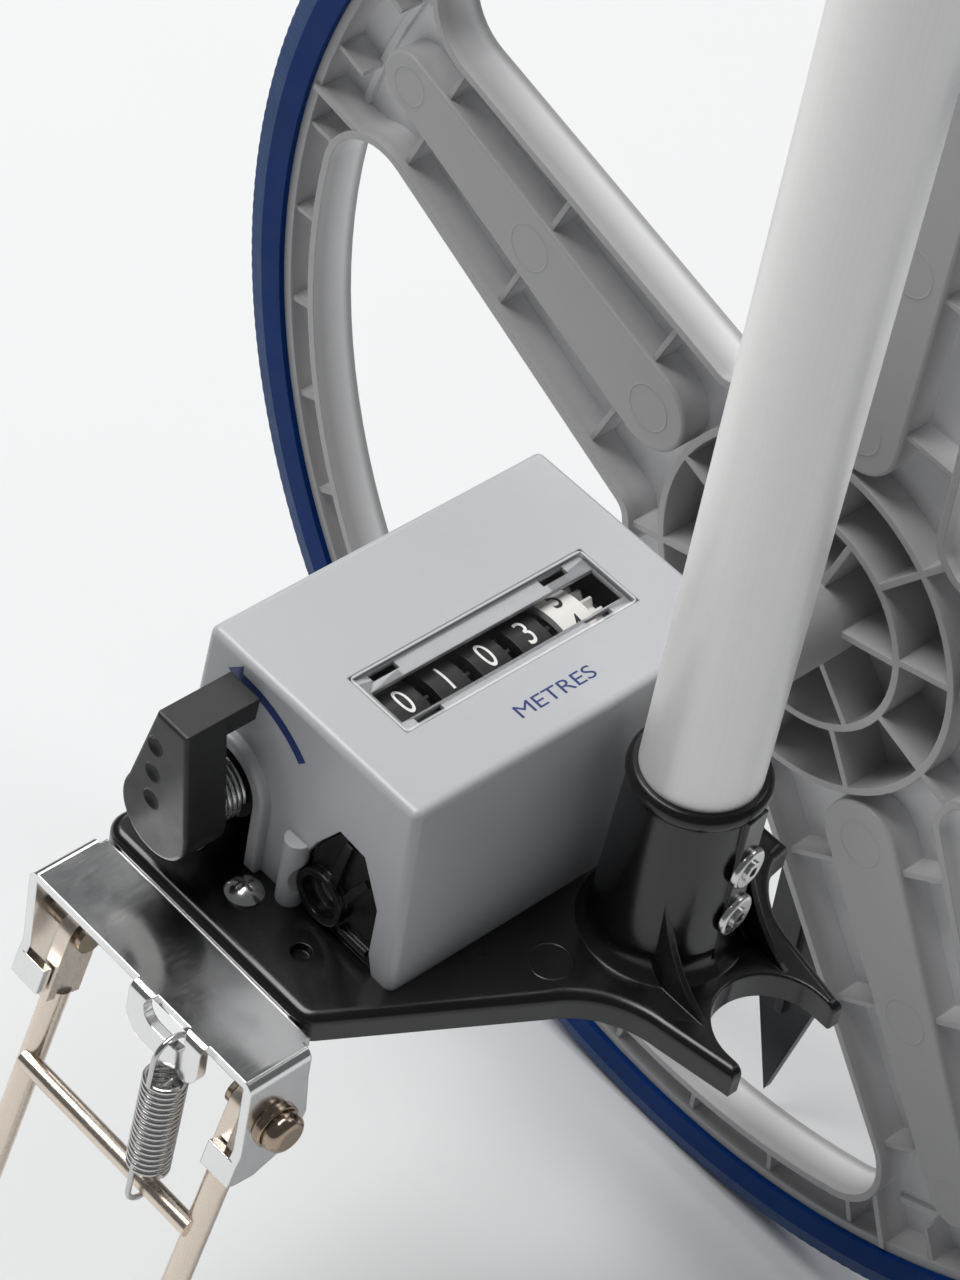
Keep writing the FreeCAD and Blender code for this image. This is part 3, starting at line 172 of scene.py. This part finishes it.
def metal(name, rgb, rough, stretch=(1.0, 1.0, 1.0), streak=0.06, depth=0.000006, bevel=0.0002, smear=0.08,
          metallic=1.0, spread=0.05):
    """Metal: drawn or brushed streaks along one direction, handling smears and softened edges."""
    m = Nodes(name)
    m.bsdf.inputs["Metallic"].default_value = metallic
    lines = m.noise(900.0, 4.0, 0.65, stretch=stretch)
    cloud = m.noise(55.0, 5.0, 0.6)
    tone = m.math("ADD", m.math("MULTIPLY", lines, 0.5), m.math("MULTIPLY", cloud, 0.5))
    m.put(m.mix(m.ranged(tone, 0.35, 0.65, 0.0, 1.0), shade(rgb, 1 - spread), shade(rgb, 1 + spread)),
          m.bsdf.inputs["Base Color"])
    lo = m.ranged(cloud, 0.35, 0.7, rough - smear * 0.4, rough + smear)
    fine = m.ranged(lines, 0.3, 0.7, -streak, streak)
    m.put(m.math("ADD", lo, fine, clamp=True), m.bsdf.inputs["Roughness"])
    m.put(m.bump(lines, depth, 1.0, m.bevel(bevel)), m.bsdf.inputs["Normal"])
    return m


def polar_ring(m):
    """Distance from the axle, angle about it and place along it, in the row frame."""
    x, y, z = m.separate()
    z = m.math("SUBTRACT", z, AXLE.z)
    radius = m.math("SQRT", m.math("ADD", m.math("MULTIPLY", x, x), m.math("MULTIPLY", z, z)))
    return radius, m.math("ARCTAN2", z, x), y


def tyre_material():
    """Navy rubber: darker side wall and a paler tread band with fine cross ribs."""
    m = Nodes("tyre_navy")
    radius, angle, _ = polar_ring(m)
    band = m.ranged(radius, 0.1543, 0.1545, 0.0, 1.0)
    cloud = m.ranged(m.noise(60.0, 5.0, 0.6), 0.3, 0.7, 0.0, 1.0)
    wall = m.mix(cloud, (0.0002, 0.023, 0.130, 1), (0.0004, 0.031, 0.170, 1))
    tread = m.mix(cloud, (0.030, 0.066, 0.175, 1), (0.040, 0.080, 0.205, 1))
    m.put(m.mix(band, wall, tread), m.bsdf.inputs["Base Color"])
    m.put(m.ranged(m.noise(240.0, 5.0, 0.6), 0.3, 0.7, 0.42, 0.58), m.bsdf.inputs["Roughness"])
    m.bsdf.inputs["Specular IOR Level"].default_value = 0.10
    ribs = m.math("SINE", m.math("MULTIPLY", angle, 720.0))
    height = m.math("ADD", m.math("MULTIPLY", m.math("MULTIPLY", ribs, band), 0.5), m.noise(1800.0, 2.0))
    m.put(m.bump(height, 0.00003, 0.8, m.bevel(0.0003)), m.bsdf.inputs["Normal"])
    return m


def wheel_material():
    """Wheel moulding: satin tops on the bars; the thin web between them is painted paler as painted light,
    and the deep hub and the deeper cells keep the darker bar grey as painted shade.
    """
    m = plastic("wheel_grey", (0.36, 0.36, 0.37), 0.45, grain=2200.0, mottle=0.035)
    radius, _, y = polar_ring(m)
    # painted light: the web floor band along the axle gets the paler grey; cells deeper than that band keep
    # the darker grey as painted shade
    floor = m.math("MULTIPLY", m.ranged(y, 0.0790, 0.0845, 0.0, 1.0), m.ranged(y, 0.0850, 0.0864, 1.0, 0.0))
    # painted shade: the hub, within about 36-42 mm of the axle, keeps the darker grey and is left out of the
    # paler web
    outside = m.ranged(radius, 0.036, 0.042, 0.0, 1.0)
    # darker bar grey mixed with the paler web grey that is painted light
    web_painted_light_shade = m.mix(m.math("MULTIPLY", floor, outside), (0.42, 0.417, 0.422, 1), (0.82, 0.82, 0.835, 1))
    flow = m.ranged(m.noise(30.0, 4.0, 0.6), 0.3, 0.7, 0.0, 1.0)
    m.put(m.mix(m.math("MULTIPLY", flow, 0.12), web_painted_light_shade, (0.30, 0.30, 0.31, 1)), m.bsdf.inputs["Base Color"])
    return m


def brushed_tube(name, rgb):
    """Satin anodised drawn tube: fine lines along it, slow cloudiness and a soft sheen."""
    m = metal(name, rgb, 0.42, stretch=(3.0, 3.0, 0.02), streak=0.05, depth=0.000004, bevel=0.0003,
              smear=0.06, metallic=0.35, spread=0.035)
    return m


def lens_material():
    """Clear moulded window: nearly invisible face on, with a near-white painted highlight along the polished
    rim and a soft sheen.
    """
    m = Nodes("window_clear")
    m.bsdf.inputs["Roughness"].default_value = 0.06
    x, y, _ = m.separate()
    dx = m.math("SUBTRACT", WINDOW_HALF[0], m.math("ABSOLUTE", m.math("SUBTRACT", x, WINDOW_MID[0])))
    dy = m.math("SUBTRACT", WINDOW_HALF[1], m.math("ABSOLUTE", m.math("SUBTRACT", y, WINDOW_MID[1])))
    edge = m.math("MINIMUM", dx, dy)
    # painted highlight: a band within about 0.5 mm of the window's edge
    line = m.ranged(edge, 0.0004, 0.0007, 1.0, 0.0)
    facing = m.tree.nodes.new("ShaderNodeLayerWeight").outputs["Facing"]
    # the rim band is painted near-white as a painted highlight and made more opaque below; the rest is a dark
    # film
    m.put(m.mix(line, (0.10, 0.102, 0.104, 1), (0.93, 0.95, 0.95, 1)), m.bsdf.inputs["Base Color"])
    haze = m.ranged(m.noise(140.0, 5.0, 0.65), 0.4, 0.75, 0.01, 0.04)
    face = m.math("ADD", m.math("POWER", facing, 4.0), haze)
    m.put(m.math("MAXIMUM", face, m.math("MULTIPLY", line, 0.5), clamp=True), m.bsdf.inputs["Alpha"])
    m.put(m.bump(m.noise(90.0, 3.0), 0.00001, 0.5), m.bsdf.inputs["Normal"])
    return m


def ink(name, rgb, rough=0.45):
    """Printed ink: a slightly uneven film with a fine screen texture."""
    m = Nodes(name)
    film = m.ranged(m.noise(700.0, 4.0, 0.6), 0.3, 0.7, 0.0, 1.0)
    m.put(m.mix(film, shade(rgb, 0.9), shade(rgb, 1.1)), m.bsdf.inputs["Base Color"])
    m.put(m.ranged(film, 0.0, 1.0, rough - 0.06, rough + 0.08), m.bsdf.inputs["Roughness"])
    m.put(m.bump(m.noise(3000.0, 2.0), 0.000006, 0.6), m.bsdf.inputs["Normal"])
    return m


MATERIALS = {
    "tyre_navy": tyre_material(),
    "wheel_grey": wheel_material(),
    "steel": metal("steel", (0.58, 0.58, 0.59), 0.30, stretch=(1.0, 5.0, 1.0)),
    "black_plastic": plastic("black_plastic", (0.006, 0.006, 0.0065), 0.25, grain=1800.0, depth=0.000008,
                             mottle=0.12, bevel=0.0005, coat=0.12, scuff=0.05),
    "black_matte": plastic("black_matte", (0.022, 0.022, 0.023), 0.42, mottle=0.12, bevel=0.0005),
    "bearing_steel": metal("bearing_steel", (0.20, 0.19, 0.18), 0.34, stretch=(1.0, 4.0, 1.0)),
    "brass": metal("brass", (0.70, 0.52, 0.27), 0.28, stretch=(1.0, 4.0, 1.0)),
    "cover_grey": plastic("cover_grey", (0.458, 0.467, 0.490), 0.38, grain=3200.0, depth=0.000012,
                          mottle=0.02, bevel=0.0005, coat=0.1, scuff=0.04),
    "window": lens_material(),
    "zinc_plate": metal("zinc_plate", (0.62, 0.62, 0.60), 0.33),
    "drum_black": plastic("drum_black", (0.012, 0.012, 0.013), 0.38, mottle=0.1, bevel=0.0002),
    "drum_white": plastic("drum_white", (0.80, 0.79, 0.76), 0.42, mottle=0.02, bevel=0.0002),
    "gear_white": plastic("gear_white", (0.76, 0.75, 0.72), 0.45, mottle=0.03, bevel=0.0002),
    "spring_steel": metal("spring_steel", (0.60, 0.60, 0.59), 0.22, bevel=0.0001, smear=0.12),
    "chrome": metal("chrome", (0.84, 0.84, 0.84), 0.12, stretch=(4.0, 0.3, 1.0), streak=0.025, bevel=0.0004,
                    smear=0.07, spread=0.03),
    "nickel": metal("nickel", (0.79, 0.69, 0.59), 0.24, stretch=(2.0, 2.0, 0.2), streak=0.05, smear=0.1),
    "fastener": metal("fastener", (0.64, 0.64, 0.63), 0.20, bevel=0.0002, smear=0.1),
    "rubber_black": plastic("rubber_black", (0.020, 0.020, 0.021), 0.62, grain=1500.0, depth=0.00004,
                            mottle=0.15),
    "tube_alloy": brushed_tube("tube_alloy", (0.92, 0.91, 0.90)),
}
INK_BLUE = ink("ink_blue", (0.010, 0.027, 0.145))
RIVET_BRONZE = metal("rivet_bronze", (0.42, 0.33, 0.25), 0.16, bevel=0.0002, smear=0.1)
LEVER_BLACK = plastic("lever_black", (0.012, 0.012, 0.0125), 0.46, grain=1900.0, depth=0.00003, mottle=0.12)
INK_WHITE = ink("ink_white", (0.85, 0.85, 0.82), 0.4)
INK_BLACK = ink("ink_black", (0.012, 0.012, 0.012), 0.4)


def paint(obj, material):
    obj.data.materials.clear()
    obj.data.materials.append(material.mat)


for sub in frame["record"]["subparts"]:
    if sub["node"] in nodes:
        paint(nodes[sub["node"]], MATERIALS[sub["material_slot"]])
paint(nodes["reset_lever"], LEVER_BLACK)
paint(nodes["stand_rivets"], RIVET_BRONZE)


# ---- mesh helpers ------------------------------------------------------------------------
def new_object(name, mesh, body, slot_name, material):
    obj = bpy.data.objects.new(name, mesh)
    bpy.context.scene.collection.objects.link(obj)
    paint(obj, material)
    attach(obj, body)
    return obj


def mesh_from(name, verts, faces, smooth=False):
    mesh = bpy.data.meshes.new(name)
    mesh.from_pydata([tuple(v) for v in verts], [], faces)
    mesh.validate()
    if smooth:
        mesh.polygons.foreach_set("use_smooth", [True] * len(mesh.polygons))
    return mesh


def glyph_mesh(text, height, step):
    """Flat outline lettering as a bmesh in millimetres, sliced across so that it can bend."""
    curve = bpy.data.curves.new("glyph", "FONT")
    curve.body = text
    curve.align_x = "CENTER"
    curve.align_y = "CENTER"
    curve.size = height / 0.70
    curve.resolution_u = 6
    holder = bpy.data.objects.new("glyph", curve)
    bpy.context.scene.collection.objects.link(holder)
    graph = bpy.context.evaluated_depsgraph_get()
    mesh = bpy.data.meshes.new_from_object(holder.evaluated_get(graph))
    bpy.data.objects.remove(holder)
    bm = bmesh.new()
    bm.from_mesh(mesh)
    bpy.data.meshes.remove(mesh)
    if step:
        k = -height
        while k < height:
            geom = bm.verts[:] + bm.edges[:] + bm.faces[:]
            bmesh.ops.bisect_plane(bm, geom=geom, plane_co=(0, k, 0), plane_no=(0, 1, 0))
            k += step
    return bm


def tyre_mesh():
    """Tyre with a fine serrated tread, turned about the axle."""
    teeth, per = 330, 4
    count = teeth * per
    lip, shoulder, crown = 148.6, 154.3, 158.95
    near, far = -3.3, 7.3
    verts, faces = [], []
    for i in range(count):
        a = 2 * math.pi * i / count
        notch = 0.1 if i % per in (0, 1) else 0.0
        top = crown - notch
        ring = ((lip, near), (shoulder, near), (shoulder + 0.2, near + 0.06), (top - 0.4, near + 1.0),
                (top, near + 1.4), (top, far - 1.4), (top - 0.4, far - 1.0), (shoulder + 0.2, far - 0.06),
                (shoulder, far), (lip, far))
        verts += [row(r * math.cos(a), y, r * math.sin(a)) for r, y in ring]
    n = 10
    for i in range(count):
        j = (i + 1) % count
        for k in range(n):
            l = (k + 1) % n
            faces.append((i * n + k, j * n + k, j * n + l, i * n + l))
    return mesh_from("tyre_tread", verts, faces)


tyre = new_object("tyre_tread", tyre_mesh(), "wheel", "tyre_navy", MATERIALS["tyre_navy"])
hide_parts("tyre")


# ---- numbers on the drums ----------------------------------------------------------------
def drum_digits(name, y_mid, shown, body, material, slot_name):
    """Ten digits wrapped round a drum; shown is the one, or the fraction, at the window."""
    merged = bmesh.new()
    for digit in range(10):
        bm = glyph_mesh(str(digit), 5.8, 0.35)
        turn = math.radians(36.0 * (digit - shown))
        for v in bm.verts:
            across, up = v.co.x * 0.66, v.co.y
            phi = turn + up / DRUM_R
            r = DRUM_R + 0.04
            v.co = row(DRUM_X - r * math.sin(phi), y_mid + across, DRUM_Z + r * math.cos(phi))
        mesh = bpy.data.meshes.new("digit")
        bm.to_mesh(mesh)
        bm.free()
        merged.from_mesh(mesh)
        bpy.data.meshes.remove(mesh)
    mesh = bpy.data.meshes.new(name)
    merged.to_mesh(mesh)
    merged.free()
    return new_object(name, mesh, body, slot_name, material)


SHOWN = (("drum_tenths", 4.55), ("drum_ones", 3), ("drum_tens", 0), ("drum_hundreds", 1),
         ("drum_thousands", 0))
for k, (drum, shown) in enumerate(SHOWN):
    colour, finish = (INK_BLACK, "drum_black") if k == 0 else (INK_WHITE, "drum_white")
    drum_digits(drum + "_digits", DRUM_FIRST_Y - DRUM_PITCH * k, shown, drum, colour, finish)


# ---- printed marks on the cover ----------------------------------------------------------
def front_face(x, z):
    """A point just off the cover's drafted front face."""
    height = (z - PLATE_TOP_Z) / (COVER_TOP_Z - PLATE_TOP_Z)
    return row(x, COVER_FRONT_Y + COVER_DRAFT * height - 0.04, z)


def arc_mark():
    """Curved arrow that shows which way the reset lever moves."""
    cx, cz, radius = -25.5, 8.5, 23.7
    verts, faces = [], []
    steps = 28
    for i in range(steps + 1):
        t = i / steps
        a = math.radians(47.0 + 45.0 * t)
        half = 1.1
        for r in (radius - half, radius + half):
            verts.append(front_face(cx + r * math.cos(a), cz + r * math.sin(a)))
    for i in range(steps):
        faces.append((2 * i, 2 * i + 1, 2 * i + 3, 2 * i + 2))
    b = len(verts)
    tip = math.radians(100.5)
    base = math.radians(91.5)
    verts += [front_face(cx + radius * math.cos(tip), cz + radius * math.sin(tip)),
              front_face(cx + (radius - 2.9) * math.cos(base), cz + (radius - 2.9) * math.sin(base)),
              front_face(cx + (radius + 2.9) * math.cos(base), cz + (radius + 2.9) * math.sin(base))]
    faces.append((b, b + 1, b + 2))
    return mesh_from("reset_arrow", verts, faces)


new_object("reset_arrow", arc_mark(), "chassis", "cover_grey", INK_BLUE)


def top_lettering(name, text, height, x, y, stretch=1.0):
    """Lettering on the top of the cover, read with the drums: right is +Y and up is -X."""
    bm = glyph_mesh(text, height, 0.0)
    for v in bm.verts:
        v.co = row(x - v.co.y, y + v.co.x * stretch, COVER_TOP_Z + 0.03)
    mesh = bpy.data.meshes.new(name)
    bm.to_mesh(mesh)
    bm.free()
    return new_object(name, mesh, "chassis", "cover_grey", INK_BLUE)


top_lettering("unit_print", "METRES", 3.0, 10.2, -83.5, 1.25)


# ---- moulding marks ----------------------------------------------------------------------
def ring_mark(verts, faces, place, radius, half, lift):
    """Adds a low round lip; place turns millimetres across, along and off the surface into a point."""
    n = 40
    base = len(verts)
    for i in range(n):
        a = 2 * math.pi * i / n
        for r, rise in ((radius - half, 0.0), (radius, lift), (radius + half, 0.0)):
            verts.append(place(r * math.cos(a), r * math.sin(a), rise))
    for i in range(n):
        j = (i + 1) % n
        for k in (0, 1):
            faces.append((base + 3 * i + k, base + 3 * j + k, base + 3 * j + k + 1, base + 3 * i + k + 1))


def pin_marks():
    """Shallow ejector-pin rings on the bars of the spokes."""
    foot_y = BAR_TOP_Y - 0.005
    verts, faces = [], []
    for s in range(SPOKES):
        angle = math.radians(SPOKE_ANGLE + 360.0 / SPOKES * s)
        for reach, radius in ((49.0, 5.0), (88.0, 5.0), (128.0, 4.2)):

            def place(u, v, rise):
                x = (reach + u) * math.cos(angle) - v * math.sin(angle)
                z = (reach + u) * math.sin(angle) + v * math.cos(angle)
                return row(x, foot_y - rise, z)

            ring_mark(verts, faces, place, radius, 0.26, 0.13)
    return mesh_from("pin_marks", verts, faces, smooth=True)


def plate_mark():
    """One ejector-pin ring on the bracket plate, between the cover and the tube socket."""
    mid_x, mid_y = 30.8, -94.6
    foot_z = PLATE_TOP_Z + 0.005
    verts, faces = [], []
    ring_mark(verts, faces, lambda u, v, rise: row(mid_x + u, mid_y + v, foot_z + rise), 4.1, 0.24, 0.12)
    return mesh_from("plate_mark", verts, faces, smooth=True)


new_object("pin_marks", pin_marks(), "wheel", "wheel_grey", MATERIALS["wheel_grey"])
new_object("plate_mark", plate_mark(), "chassis", "black_plastic", MATERIALS["black_plastic"])


# ---- floor, light and camera -------------------------------------------------------------
def floor():
    m = Nodes("floor_pale")
    tone = m.ranged(m.noise(3.0, 3.0), 0.3, 0.7, 0.0, 1.0)
    m.put(m.mix(tone, (0.76, 0.77, 0.78, 1), (0.78, 0.79, 0.80, 1)), m.bsdf.inputs["Base Color"])
    m.bsdf.inputs["Roughness"].default_value = 0.75
    m.put(m.bump(m.noise(500.0, 2.0), 0.00001, 0.3), m.bsdf.inputs["Normal"])
    bpy.ops.mesh.primitive_plane_add(size=16.0, location=(0, 0, -0.0005))
    plane = bpy.context.object
    plane.name = "floor"
    paint(plane, m)


floor()

world = bpy.data.worlds.new("studio")
bpy.context.scene.world = world
world.use_nodes = True
background = world.node_tree.nodes["Background"]
background.inputs["Color"].default_value = (0.95, 0.975, 1.0, 1)
background.inputs["Strength"].default_value = 0.13
bpy.context.scene.view_settings.view_transform = "Standard"


def area(name, place, target, size, power, colour=(1, 1, 1)):
    light = bpy.data.lights.new(name, "AREA")
    light.shape = "RECTANGLE"
    light.size, light.size_y = size
    light.energy = power
    light.color = colour
    obj = bpy.data.objects.new(name, light)
    bpy.context.scene.collection.objects.link(obj)
    obj.location = place
    obj.rotation_mode = "QUATERNION"
    obj.rotation_quaternion = (Vector(target) - Vector(place)).to_track_quat("-Z", "Y")
    return obj


area("key", (-1.3, -0.35, 3.5), (0, -0.02, 0.17), (2.3, 2.3), 132, (1.0, 0.995, 0.98))
area("back", (-1.3, 1.6, 1.5), (0, 0.05, 0.2), (1.6, 0.9), 12)
area("edge", (0.8, 1.9, 2.1), (0, -0.07, 0.3), (1.2, 1.2), 10)


def photo_camera():
    """Camera at the photograph's viewing angle, fitted to the wheel's circles and the cover's edges."""
    azimuth, elevation, roll = CAMERA_TURN
    forward = Vector((math.sin(azimuth) * math.cos(elevation), math.cos(azimuth) * math.cos(elevation),
                      math.sin(elevation)))
    right = forward.cross(Vector((0, 0, 1))).normalized()
    up = right.cross(forward)
    right_rolled = right * math.cos(roll) + up * math.sin(roll)
    up_rolled = up * math.cos(roll) - right * math.sin(roll)
    data = bpy.data.cameras.new("camera")
    data.sensor_fit = "AUTO"
    data.sensor_width = 36.0
    data.lens = CAMERA_LENS
    data.clip_start, data.clip_end = 0.02, 40.0
    cam = bpy.data.objects.new("camera", data)
    bpy.context.scene.collection.objects.link(cam)
    basis = Matrix((right_rolled, up_rolled, -forward)).transposed()
    cam.matrix_world = Matrix.Translation(CAMERA_PLACE) @ basis.to_4x4()
    bpy.context.scene.camera = cam


photo_camera()
